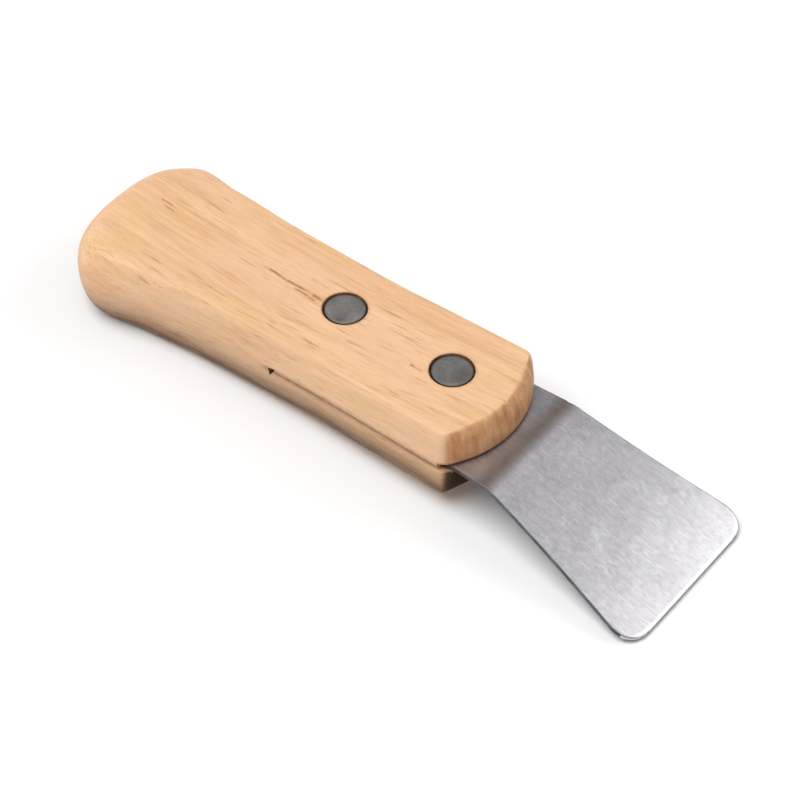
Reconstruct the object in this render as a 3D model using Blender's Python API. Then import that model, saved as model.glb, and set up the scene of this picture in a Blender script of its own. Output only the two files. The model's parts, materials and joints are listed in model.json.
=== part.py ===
"""Hoof knife: a short one-piece beech handle with a saw kerf from the front, a flared steel blade
whose tang sits in the kerf, and two cutler's rivets, each a pin half and a tube half.

Built lying as it rests: on the lower edge of its butt and on the edge of its blade.
The local frame, before it is laid down, has its origin at the front rivet, on the underside of the
handle: +X towards the blade, +Z out of the handle's top face."""

import math

import bmesh
import bpy
import numpy as np
from mathutils import Matrix, Vector

MM = 0.001

# Handle
HANDLE_THICK = 18.1 * MM
BUTT_X = -92.9 * MM  # furthest point of the rounded butt
BUTT_START_X = -80.0 * MM  # where the long sides turn into the butt
BUTT_SQUARENESS = 2.52  # 2 is an ellipse, more is squarer
FRONT_X = 15.98 * MM  # crown of the curved front end
FRONT_CORNER_X = 10.0 * MM  # where the front curve meets the long sides
# stations along the handle: (x, half width) at its widest level, in millimetres
HANDLE_STATIONS = (
    (-88.0, 18.9),
    (-80.0, 20.3),
    (-70.0, 17.95),
    (-58.0, 16.3),
    (-40.0, 15.65),
    (-24.0, 15.4),
    (-8.0, 15.8),
    (9.6, 16.2),
)
FRONT_CORNER = 2.7 * MM  # at the widest level; the flat faces' corners come out crisp
# how far the flat faces stand in from the widest level
TOP_SIDE, TOP_FRONT, TOP_BUTT = 1.4 * MM, 2.75 * MM, 6.6 * MM
UNDER_SIDE, UNDER_FRONT, UNDER_BUTT = 1.85 * MM, 3.65 * MM, 5.2 * MM
EDGE_LEVELS = 8

# Kerf and the pocket it makes for the tang
KERF_END_X = -35.0 * MM
KERF_SLIT = 0.34 * MM  # where the halves close up beyond the tang
POCKET_GAP = 0.25 * MM
NOTCH_LONG = 1.9 * MM
NOTCH_HIGH = 2.35 * MM
MOUTH_X = 9.0 * MM  # from here forward the pocket is open to both sides

# Blade
BLADE_THICK = 1.25 * MM
BLADE_ASIDE = 0.1 * MM  # the plate sits a little to one side of the handle
BLADE_TOP_Z = HANDLE_THICK - 8.5 * MM
TANG_END_X = -33.0 * MM
TANG_HALF_REAR = 12.4 * MM
TANG_HALF_FRONT = 14.7 * MM
BEND_X = 20.7 * MM
BEND_ANGLE = math.radians(19.2)
BEND_RADIUS = 8.0 * MM  # at the plate's middle
BLADE_LONG = 43.3 * MM  # from the bend's corner to the edge
BEND_HALF = 15.15 * MM
EDGE_HALF = 22.1 * MM
FLARE_SAG = 0.98 * MM  # the long edges curve outwards towards the blade's edge
TIP_CORNER = 6.4 * MM
PLATE_EDGE = 0.18 * MM  # rounding along the plate's edges
TIP_BEVEL = 0.9 * MM

# Rivets
RIVETS = (("front", 0.0, 0.8 * MM), ("rear", -28.5 * MM, 1.5 * MM))
HEAD_R = 4.5 * MM
HEAD_HIGH = 1.5 * MM
HEAD_SUNK = 0.15 * MM
HEAD_CLEAR = 0.28 * MM
PIN_R = 1.6 * MM
TUBE_R = 2.75 * MM
TUBE_BORE_R = 1.88 * MM
SHANK_CLEAR = 0.28 * MM
ROUND_STEPS = 56

for old in list(bpy.data.objects):
    bpy.data.objects.remove(old, do_unlink=True)


def material(name, colour, roughness, metallic):
    made = bpy.data.materials.new(name)
    made.use_nodes = True
    shader = made.node_tree.nodes["Principled BSDF"]
    shader.inputs["Base Color"].default_value = (*colour, 1.0)
    shader.inputs["Roughness"].default_value = roughness
    shader.inputs["Metallic"].default_value = metallic
    return made


WOOD = material("handle_wood", (0.80, 0.55, 0.32), 0.55, 0.0)
STEEL = material("blade_steel", (0.56, 0.55, 0.57), 0.34, 1.0)
RIVET_PIN = material("rivet_pin_steel", (0.30, 0.30, 0.30), 0.42, 1.0)
RIVET_TUBE = material("rivet_tube_steel", (0.34, 0.34, 0.34), 0.45, 1.0)


def finish(name, bm, mat, smooth=True, cutter=False):
    bmesh.ops.recalc_face_normals(bm, faces=bm.faces)
    mesh = bpy.data.meshes.new(name)
    bm.to_mesh(mesh)
    bm.free()
    obj = bpy.data.objects.new(name, mesh)
    bpy.context.scene.collection.objects.link(obj)
    if smooth:
        for face in mesh.polygons:
            face.use_smooth = True
        mesh.set_sharp_from_angle(angle=math.radians(32))
    if mat:
        mesh.materials.append(mat)
    if cutter:
        obj.hide_render = True
        obj.display_type = "WIRE"
    return obj


def spline(stations, x):
    """Catmull-Rom value at x through (x, value) stations."""
    xs = [s[0] for s in stations]
    ys = [s[1] for s in stations]
    if x <= xs[0]:
        return ys[0]
    if x >= xs[-1]:
        return ys[-1]
    i = max(k for k in range(len(xs) - 1) if xs[k] <= x)
    def slope(k):
        a, b = max(k - 1, 0), min(k + 1, len(xs) - 1)
        return (ys[b] - ys[a]) / (xs[b] - xs[a])
    h = xs[i + 1] - xs[i]
    t = (x - xs[i]) / h
    return (
        (2 * t**3 - 3 * t**2 + 1) * ys[i]
        + (t**3 - 2 * t**2 + t) * h * slope(i)
        + (-2 * t**3 + 3 * t**2) * ys[i + 1]
        + (t**3 - t**2) * h * slope(i + 1)
    )


def fillet(before, corner, after, radius, steps):
    """Arc that rounds the corner between two directions."""
    a = (before - corner).normalized()
    b = (after - corner).normalized()
    half = math.acos(max(-1.0, min(1.0, a.dot(b)))) / 2
    cut = radius / math.tan(half)
    centre = corner + (a + b).normalized() * (radius / math.sin(half))
    start = corner + a * cut - centre
    end = corner + b * cut - centre
    turn = math.atan2(start.x * end.y - start.y * end.x, start.dot(end))
    made = []
    for k in range(steps + 1):
        w = turn * k / steps
        made.append(
            centre
            + Vector((start.x * math.cos(w) - start.y * math.sin(w), start.x * math.sin(w) + start.y * math.cos(w)))
        )
    return made


def side_half(x):
    return spline(HANDLE_STATIONS, x / MM) * MM


def half_outline():
    """One side of the handle's plan outline, from the butt's crown to the front's crown, y >= 0."""
    points = []
    for k in range(25):
        w = math.pi / 2 * k / 24
        x = BUTT_START_X - (BUTT_START_X - BUTT_X) * math.cos(w) ** (2 / BUTT_SQUARENESS)
        points.append(Vector((x, side_half(x) * math.sin(w) ** (2 / BUTT_SQUARENESS))))
    front = Vector((FRONT_CORNER_X, side_half(FRONT_CORNER_X)))
    rise = FRONT_X - FRONT_CORNER_X
    front_radius = (front.y**2 + rise**2) / (2 * rise)

    def nose(y):
        return FRONT_X - front_radius + math.sqrt(front_radius**2 - y**2)

    back_x = FRONT_CORNER_X - 5 * MM
    turn = fillet(
        Vector((back_x, side_half(back_x))),
        front,
        Vector((nose(front.y - 3 * MM), front.y - 3 * MM)),
        FRONT_CORNER,
        8,
    )
    for k in range(1, 28):
        x = BUTT_START_X + (turn[0].x - BUTT_START_X) * k / 28
        points.append(Vector((x, side_half(x))))
    points.extend(turn)
    for k in range(1, 11):
        y = turn[-1].y * (1 - k / 11)
        points.append(Vector((nose(y), y)))
    points.append(Vector((FRONT_X, 0.0)))
    return points


def outline():
    upper = half_outline()
    lower = [Vector((p.x, -p.y)) for p in reversed(upper[1:-1])]
    return upper + lower  # runs clockwise seen from above


def smooth_step(a, b, v):
    t = max(0.0, min(1.0, (v - a) / (b - a)))
    return t * t * (3 - 2 * t)


def edge_inset(p, top):
    """How far a flat face stands in from the widest level at this point of the outline."""
    side, end, rear = (TOP_SIDE, TOP_FRONT, TOP_BUTT) if top else (UNDER_SIDE, UNDER_FRONT, UNDER_BUTT)
    butt = 1 - smooth_step(-88 * MM, -58 * MM, p.x)
    front = smooth_step(FRONT_CORNER_X, FRONT_CORNER_X + 4.5 * MM, p.x)
    along = side + (rear - side) * butt**1.4
    return along + (end - along) * front


def handle():
    ring = outline()
    count = len(ring)
    inward = []
    for k, p in enumerate(ring):
        a, b = ring[k - 1], ring[(k + 1) % count]
        along = (b - a).normalized()
        inward.append(Vector((along.y, -along.x)))
    middle = HANDLE_THICK / 2
    bm = bmesh.new()
    rows = []
    for j in range(-EDGE_LEVELS, EDGE_LEVELS + 1):
        up = math.sin(math.pi / 2 * j / EDGE_LEVELS)
        lean = 1 - math.cos(math.pi / 2 * j / EDGE_LEVELS)
        rows.append(
            [
                bm.verts.new((*(p + n * edge_inset(p, j > 0) * lean), middle + middle * up))
                for p, n in zip(ring, inward)
            ]
        )
    for low, high in zip(rows, rows[1:]):
        for k in range(count):
            bm.faces.new((low[k - 1], low[k], high[k], high[k - 1]))
    bm.faces.new(rows[-1])
    bm.faces.new(rows[0][::-1])
    return finish("handle", bm, WOOD)


def slab(name, points, low, high):
    """Cutter: a plan polygon between two levels."""
    bm = bmesh.new()
    bottom = [bm.verts.new((x, y, low)) for x, y in points]
    top = [bm.verts.new((x, y, high)) for x, y in points]
    bm.faces.new(top)
    bm.faces.new(bottom[::-1])
    for k in range(len(points)):
        bm.faces.new((bottom[k - 1], bottom[k], top[k], top[k - 1]))
    return finish(name, bm, None, smooth=False, cutter=True)


def lathe(name, x, y, profile, mat, cutter=False):
    """Solid of revolution about the vertical through (x, y). The profile runs from the axis, or round a ring, as (r, z)."""
    bm = bmesh.new()
    rings = []
    for r, z in profile:
        if r == 0:
            rings.append([bm.verts.new((x, y, z))])
        else:
            rings.append(
                [
                    bm.verts.new(
                        (
                            x + r * math.cos(2 * math.pi * k / ROUND_STEPS),
                            y + r * math.sin(2 * math.pi * k / ROUND_STEPS),
                            z,
                        )
                    )
                    for k in range(ROUND_STEPS)
                ]
            )
    for a, b in zip(rings, rings[1:]):
        for k in range(ROUND_STEPS):
            if len(a) == 1:
                bm.faces.new((a[0], b[k - 1], b[k]))
            elif len(b) == 1:
                bm.faces.new((a[k - 1], b[0], a[k]))
            else:
                bm.faces.new((a[k - 1], b[k - 1], b[k], a[k]))
    return finish(name, bm, mat, cutter=cutter)


def cut(target, cutter):
    made = target.modifiers.new(f"cut_{cutter.name}", "BOOLEAN")
    made.operation = "DIFFERENCE"
    made.solver = "EXACT"
    made.object = cutter


def tang_half(x):
    """Half width of the plate inside the handle and up to the bend."""
    t = max(0.0, min(1.0, (x - TANG_END_X) / (MOUTH_X - TANG_END_X)))
    half = TANG_HALF_REAR + (TANG_HALF_FRONT - TANG_HALF_REAR) * t
    if x > MOUTH_X:
        half += (BEND_HALF - TANG_HALF_FRONT) * (x - MOUTH_X) / (BEND_X - MOUTH_X)
    return half


def plate_line(s):
    """Middle line of the plate: (x, z, slope angle) at s along it, counted from the bend's corner."""
    reach = BEND_RADIUS * math.tan(BEND_ANGLE / 2)
    arc = BEND_RADIUS * BEND_ANGLE
    z = BLADE_TOP_Z - BLADE_THICK / 2
    if s <= -arc / 2:
        return BEND_X + s + arc / 2 - reach, z, 0.0
    if s >= arc / 2:
        far = s - arc / 2 + reach
        return BEND_X + far * math.cos(BEND_ANGLE), z - far * math.sin(BEND_ANGLE), BEND_ANGLE
    turned = (s + arc / 2) / BEND_RADIUS
    return (
        BEND_X - reach + BEND_RADIUS * math.sin(turned),
        z - BEND_RADIUS * (1 - math.cos(turned)),
        turned,
    )


def blade():
    """The plate as a loft of thin rounded bars, from the tang's end round the bend to the edge."""
    arc = BEND_RADIUS * BEND_ANGLE
    last = BLADE_LONG
    stations = []  # (s, half width, height over the middle line, depth under it)
    half_t = BLADE_THICK / 2
    tang_s = TANG_END_X - BEND_X
    for k in range(9):  # tang's rounded rear corners
        w = math.pi / 2 * k / 8
        r = 3.0 * MM
        s = tang_s + r * (1 - math.cos(w))
        stations.append((s, tang_half(BEND_X + s) - r * (1 - math.sin(w)), half_t, half_t))
    for k in range(1, 13):
        s = stations[8][0] + (-arc / 2 - stations[8][0]) * k / 12
        stations.append((s, tang_half(BEND_X + s), half_t, half_t))
    for k in range(1, 9):
        s = -arc / 2 + arc * k / 8
        stations.append((s, BEND_HALF + s * (EDGE_HALF - BEND_HALF) / BLADE_LONG, half_t, half_t))

    def flare(s):
        t = s / BLADE_LONG
        return BEND_HALF + (EDGE_HALF - BEND_HALF) * t - FLARE_SAG * 4 * t * (1 - t) * 0.5

    straight = last - TIP_CORNER
    for k in range(1, 15):
        s = arc / 2 + (straight - arc / 2) * k / 14
        stations.append((s, flare(s), half_t, half_t))
    for k in range(1, 13):
        w = math.pi / 2 * k / 12
        s = straight + (TIP_CORNER - TIP_BEVEL * 0.5) * math.sin(w)
        stations.append((s, flare(s) - TIP_CORNER * 0.92 * (1 - math.cos(w)), half_t, half_t))
    s, half = stations[-1][0], stations[-1][1]
    stations.append((last, half - 0.5 * TIP_BEVEL, half_t - 0.4 * BLADE_THICK, half_t - PLATE_EDGE))

    bm = bmesh.new()
    rows = []
    e = PLATE_EDGE
    for s, half, over, under in stations:
        x, z, slope = plate_line(s)
        up = Vector((math.sin(slope), 0, math.cos(slope)))
        row = []
        for y, n in (
            (half - e, over),
            (half - 0.3 * e, over - 0.3 * e),
            (half, over - e),
            (half, -under + e),
            (half - 0.3 * e, -under + 0.3 * e),
            (half - e, -under),
            (-half + e, -under),
            (-half + 0.3 * e, -under + 0.3 * e),
            (-half, -under + e),
            (-half, over - e),
            (-half + 0.3 * e, over - 0.3 * e),
            (-half + e, over),
        ):
            row.append(bm.verts.new(Vector((x, y + BLADE_ASIDE, z)) + up * n))
        rows.append(row)
    for a, b in zip(rows, rows[1:]):
        for k in range(len(a)):
            bm.faces.new((a[k - 1], a[k], b[k], b[k - 1]))
    bm.faces.new(rows[0][::-1])
    bm.faces.new(rows[-1])
    return finish("blade_plate", bm, STEEL)


body = handle()
plate = blade()

# The saw kerf: a thin slit right across, a pocket for the tang, and a mouth open to both sides.
kerf_mid = BLADE_TOP_Z - BLADE_THICK / 2
pocket_low = kerf_mid - BLADE_THICK / 2 - POCKET_GAP
pocket_high = kerf_mid + BLADE_THICK / 2 + POCKET_GAP
far_x, far_y = FRONT_X + 6 * MM, 24 * MM
cut(
    body,
    slab(
        "cutter_slit",
        [(KERF_END_X, -far_y), (KERF_END_X, far_y), (far_x, far_y), (far_x, -far_y)],
        kerf_mid - KERF_SLIT / 2,
        kerf_mid + KERF_SLIT / 2,
    ),
)
rear = TANG_END_X - 0.4 * MM
pocket = [(rear, -tang_half(rear) - POCKET_GAP), (rear, tang_half(rear) + POCKET_GAP)]
pocket += [(MOUTH_X, tang_half(MOUTH_X) + POCKET_GAP), (MOUTH_X + 1.5 * MM, far_y), (far_x, far_y)]
pocket += [(far_x, -far_y), (MOUTH_X + 1.5 * MM, -far_y), (MOUTH_X, -tang_half(MOUTH_X) - POCKET_GAP)]
cut(body, slab("cutter_pocket", pocket, pocket_low, pocket_high))

# The open, three-cornered end of the kerf, right across.
bm = bmesh.new()
notch = [
    (KERF_END_X - NOTCH_LONG * 0.45, kerf_mid + NOTCH_HIGH * 0.21),
    (KERF_END_X + NOTCH_LONG * 0.55, kerf_mid + NOTCH_HIGH * 0.36),
    (KERF_END_X - NOTCH_LONG * 0.2, kerf_mid - NOTCH_HIGH * 0.64),
]
sides = [[bm.verts.new((x, y, z)) for x, z in notch] for y in (-far_y, far_y)]
bm.faces.new(sides[0])
bm.faces.new(sides[1][::-1])
for k in range(3):
    bm.faces.new((sides[0][k - 1], sides[0][k], sides[1][k], sides[1][k - 1]))
cut(body, finish("cutter_notch", bm, None, smooth=False, cutter=True))

for place, x, y in RIVETS:
    hole = TUBE_R + SHANK_CLEAR
    sunk = HEAD_SUNK + HEAD_HIGH + 0.28 * MM
    wide = HEAD_R + HEAD_CLEAR
    over = 3 * MM
    bore = lathe(
        f"cutter_bore_{place}",
        x,
        y,
        [
            (0, -over),
            (wide, -over),
            (wide, sunk),
            (hole, sunk),
            (hole, HANDLE_THICK - sunk),
            (wide, HANDLE_THICK - sunk),
            (wide, HANDLE_THICK + over),
            (0, HANDLE_THICK + over),
        ],
        None,
        cutter=True,
    )
    cut(body, bore)
    through = lathe(
        f"cutter_tang_{place}",
        x,
        y,
        [(0, 2 * MM), (hole, 2 * MM), (hole, HANDLE_THICK - 3 * MM), (0, HANDLE_THICK - 3 * MM)],
        None,
        cutter=True,
    )
    cut(plate, through)

    top = HANDLE_THICK - HEAD_SUNK
    soft = 0.3 * MM
    pin_end = 4.0 * MM
    lathe(
        f"rivet_pin_{place}",
        x,
        y,
        [
            (0, pin_end),
            (PIN_R - soft, pin_end),
            (PIN_R, pin_end + soft),
            (PIN_R, top - HEAD_HIGH),
            (HEAD_R - 0.12 * MM, top - HEAD_HIGH),
            (HEAD_R, top - HEAD_HIGH + 0.12 * MM),
            (HEAD_R, top - soft),
            (HEAD_R - 0.1 * MM, top - 0.1 * MM),
            (HEAD_R - soft, top),
            (0, top),
        ],
        RIVET_PIN,
    )
    tube_end = HANDLE_THICK - HEAD_SUNK - HEAD_HIGH - 0.9 * MM
    lathe(
        f"rivet_tube_{place}",
        x,
        y,
        [
            (0, HEAD_SUNK),
            (HEAD_R - soft, HEAD_SUNK),
            (HEAD_R - 0.1 * MM, HEAD_SUNK + 0.1 * MM),
            (HEAD_R, HEAD_SUNK + soft),
            (HEAD_R, HEAD_SUNK + HEAD_HIGH - 0.12 * MM),
            (HEAD_R - 0.12 * MM, HEAD_SUNK + HEAD_HIGH),
            (TUBE_R, HEAD_SUNK + HEAD_HIGH),
            (TUBE_R, tube_end),
            (TUBE_BORE_R, tube_end),
            (TUBE_BORE_R, 3.4 * MM),
            (0, 3.4 * MM),
        ],
        RIVET_TUBE,
    )

# Laid down: turned about Y until the butt's lower edge and the blade's edge are level.
def lowest(obj, angle):
    c, s = math.cos(angle), math.sin(angle)
    return min(-v.co.x * s + v.co.z * c for v in obj.data.vertices)


low, high = math.radians(-12), math.radians(12)
for _ in range(60):
    mid = (low + high) / 2
    if lowest(body, mid) > lowest(plate, mid):
        high = mid
    else:
        low = mid
LAY = (low + high) / 2
turned = Matrix.Rotation(LAY, 4, "Y")
corners = [turned @ v.co for obj in (body, plate) for v in obj.data.vertices]
lows = [min(p[k] for p in corners) for k in range(3)]
highs = [max(p[k] for p in corners) for k in range(3)]
place = Matrix.Translation((-(lows[0] + highs[0]) / 2, -(lows[1] + highs[1]) / 2, -lows[2])) @ turned
for obj in bpy.data.objects:
    obj.matrix_world = place @ obj.matrix_world
print("laid down by degrees:", round(math.degrees(LAY), 3))
print("local origin now at mm:", [round(v / MM, 3) for v in place.translation])
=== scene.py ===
"""Looks of the hoof knife: a finer handle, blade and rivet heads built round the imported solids,
with procedural beech and ground steel, on a pale floor under soft light."""

import json
import math

import bmesh
import bpy
import numpy as np
from mathutils import Matrix, Vector, noise


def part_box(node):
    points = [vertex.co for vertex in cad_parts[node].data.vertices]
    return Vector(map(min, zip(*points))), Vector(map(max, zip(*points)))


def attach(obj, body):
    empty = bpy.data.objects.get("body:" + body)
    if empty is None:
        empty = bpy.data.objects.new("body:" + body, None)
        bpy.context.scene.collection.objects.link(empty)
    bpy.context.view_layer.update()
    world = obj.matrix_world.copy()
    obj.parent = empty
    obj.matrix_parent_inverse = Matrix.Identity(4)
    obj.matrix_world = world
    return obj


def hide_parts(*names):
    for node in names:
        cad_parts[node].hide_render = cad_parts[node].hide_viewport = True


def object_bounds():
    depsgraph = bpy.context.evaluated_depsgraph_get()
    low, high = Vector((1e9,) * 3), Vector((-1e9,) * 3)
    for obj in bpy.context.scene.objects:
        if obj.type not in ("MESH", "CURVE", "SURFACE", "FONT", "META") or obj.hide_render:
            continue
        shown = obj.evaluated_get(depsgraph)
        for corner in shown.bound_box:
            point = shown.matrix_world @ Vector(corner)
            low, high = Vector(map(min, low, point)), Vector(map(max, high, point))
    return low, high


MM = 0.001
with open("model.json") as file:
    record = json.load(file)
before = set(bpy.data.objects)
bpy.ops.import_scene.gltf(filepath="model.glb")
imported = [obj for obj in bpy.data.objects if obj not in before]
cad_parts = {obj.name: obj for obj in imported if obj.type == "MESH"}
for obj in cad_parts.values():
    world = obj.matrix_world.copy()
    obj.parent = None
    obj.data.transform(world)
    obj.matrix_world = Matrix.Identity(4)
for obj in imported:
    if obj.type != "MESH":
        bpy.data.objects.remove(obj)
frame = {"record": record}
cad_low, cad_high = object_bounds()
record = frame["record"]

# ------------------------------------------------------------------ sizes, as in the CAD (mm)
THICK = 18.1
BUTT_X, BUTT_START_X, SQUARENESS = -92.9, -80.0, 2.52
FRONT_X, FRONT_CORNER_X, FRONT_CORNER = 15.98, 10.0, 2.7
STATIONS = ((-88.0, 18.9), (-80.0, 20.3), (-70.0, 17.95), (-58.0, 16.3), (-40.0, 15.65), (-24.0, 15.4), (-8.0, 15.8), (9.6, 16.2))
TOP_INSET = (1.4, 2.75, 6.6)
UNDER_INSET = (1.85, 3.65, 5.2)
PLATE = 1.25
PLATE_ASIDE = 0.1
PLATE_TOP = THICK - 8.5
KERF_MID = PLATE_TOP - PLATE / 2
KERF_END, KERF_SLIT, GAP = -35.0, 0.34, 0.25
MOUTH_X = 9.0
TANG_END, TANG_REAR, TANG_FRONT = -33.0, 12.4, 14.7
BEND_X, BEND_ANGLE, BEND_RADIUS = 20.7, math.radians(19.2), 8.0
BLADE_LONG, BEND_HALF, EDGE_HALF, SAG, TIP_CORNER = 43.3, 15.15, 22.1, 0.98, 6.4
RIVETS = {"front": (0.0, 0.8), "rear": (-28.5, 1.5)}
HEAD_R, HEAD_CLEAR, SUNK = 4.5, 0.28, 0.15
SKIN = 0.015  # the looks stay this far inside the solids

# ------------------------------------------------------------------ where the CAD has it
top_face = next(m for m in record["mounts"] if m["name"] == "handle_top_face")
lay = math.atan2(top_face["axis"][0], top_face["axis"][2])
turn = Matrix.Rotation(lay, 4, "Y")


# ------------------------------------------------------------------ mesh helpers
def make(name, bm, materials, angle=30):
    bmesh.ops.recalc_face_normals(bm, faces=bm.faces)
    mesh = bpy.data.meshes.new(name)
    bm.to_mesh(mesh)
    bm.free()
    for m in materials:
        mesh.materials.append(m)
    obj = bpy.data.objects.new(name, mesh)
    bpy.context.scene.collection.objects.link(obj)
    for face in mesh.polygons:
        face.use_smooth = True
    mesh.set_sharp_from_angle(angle=math.radians(angle))
    return obj


def carve(obj, cutters, angle=30):
    """Subtracts the cutters, one by one, and keeps the result as the object's own mesh."""
    for cutter in cutters:
        made = obj.modifiers.new("cut", "BOOLEAN")
        made.operation = "DIFFERENCE"
        made.solver = "EXACT"
        made.object = cutter
        if hasattr(made, "material_mode"):
            made.material_mode = "INDEX"
    bpy.context.view_layer.update()
    graph = bpy.context.evaluated_depsgraph_get()
    mesh = bpy.data.meshes.new_from_object(obj.evaluated_get(graph))
    obj.modifiers.clear()
    old = obj.data
    obj.data = mesh
    mesh.name = obj.name
    bpy.data.meshes.remove(old)
    for cutter in cutters:
        data = cutter.data
        bpy.data.objects.remove(cutter, do_unlink=True)
        bpy.data.meshes.remove(data)
    for face in mesh.polygons:
        face.use_smooth = True
    mesh.set_sharp_from_angle(angle=math.radians(angle))


def spline(x):
    xs = [s[0] for s in STATIONS]
    ys = [s[1] for s in STATIONS]
    if x <= xs[0]:
        return ys[0]
    if x >= xs[-1]:
        return ys[-1]
    i = max(k for k in range(len(xs) - 1) if xs[k] <= x)

    def slope(k):
        a, b = max(k - 1, 0), min(k + 1, len(xs) - 1)
        return (ys[b] - ys[a]) / (xs[b] - xs[a])

    h = xs[i + 1] - xs[i]
    t = (x - xs[i]) / h
    return (2 * t**3 - 3 * t**2 + 1) * ys[i] + (t**3 - 2 * t**2 + t) * h * slope(i) + (3 * t**2 - 2 * t**3) * ys[i + 1] + (t**3 - t**2) * h * slope(i + 1)


def step(a, b, v):
    t = max(0.0, min(1.0, (v - a) / (b - a)))
    return t * t * (3 - 2 * t)


def fillet(before, corner, after, radius, steps):
    a, b = (before - corner).normalized(), (after - corner).normalized()
    half = math.acos(max(-1.0, min(1.0, a.dot(b)))) / 2
    reach = radius / math.tan(half)
    centre = corner + (a + b).normalized() * (radius / math.sin(half))
    start, end = corner + a * reach - centre, corner + b * reach - centre
    sweep = math.atan2(start.x * end.y - start.y * end.x, start.dot(end))
    return [
        centre + Vector((start.x * math.cos(w) - start.y * math.sin(w), start.x * math.sin(w) + start.y * math.cos(w)))
        for w in (sweep * k / steps for k in range(steps + 1))
    ]


def outline(butt_steps=64, side_steps=110, nose_steps=34):
    points = []
    for k in range(butt_steps + 1):
        w = math.pi / 2 * k / butt_steps
        x = BUTT_START_X - (BUTT_START_X - BUTT_X) * math.cos(w) ** (2 / SQUARENESS)
        points.append(Vector((x, spline(x) * math.sin(w) ** (2 / SQUARENESS))))
    front = Vector((FRONT_CORNER_X, spline(FRONT_CORNER_X)))
    rise = FRONT_X - FRONT_CORNER_X
    radius = (front.y**2 + rise**2) / (2 * rise)

    def nose(y):
        return FRONT_X - radius + math.sqrt(radius**2 - y**2)

    back = Vector((FRONT_CORNER_X - 5, spline(FRONT_CORNER_X - 5)))
    corner = fillet(back, front, Vector((nose(front.y - 3), front.y - 3)), FRONT_CORNER, 10)
    for k in range(1, side_steps):
        x = BUTT_START_X + (corner[0].x - BUTT_START_X) * k / side_steps
        points.append(Vector((x, spline(x))))
    points.extend(corner)
    for k in range(1, nose_steps):
        y = corner[-1].y * (1 - k / nose_steps)
        points.append(Vector((nose(y), y)))
    points.append(Vector((FRONT_X, 0.0)))
    return points + [Vector((p.x, -p.y)) for p in reversed(points[1:-1])]


def normals_in(ring):
    made = []
    for k in range(len(ring)):
        along = (ring[(k + 1) % len(ring)] - ring[k - 1]).normalized()
        made.append(Vector((along.y, -along.x)))
    return made


def inset(p, top):
    side, end, rear = TOP_INSET if top else UNDER_INSET
    butt = 1 - step(-88, -58, p.x)
    front = step(FRONT_CORNER_X, FRONT_CORNER_X + 4.5, p.x)
    along = side + (rear - side) * butt**1.4
    return along + (end - along) * front


# ------------------------------------------------------------------ node helpers
OWN_AXES = []


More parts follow.
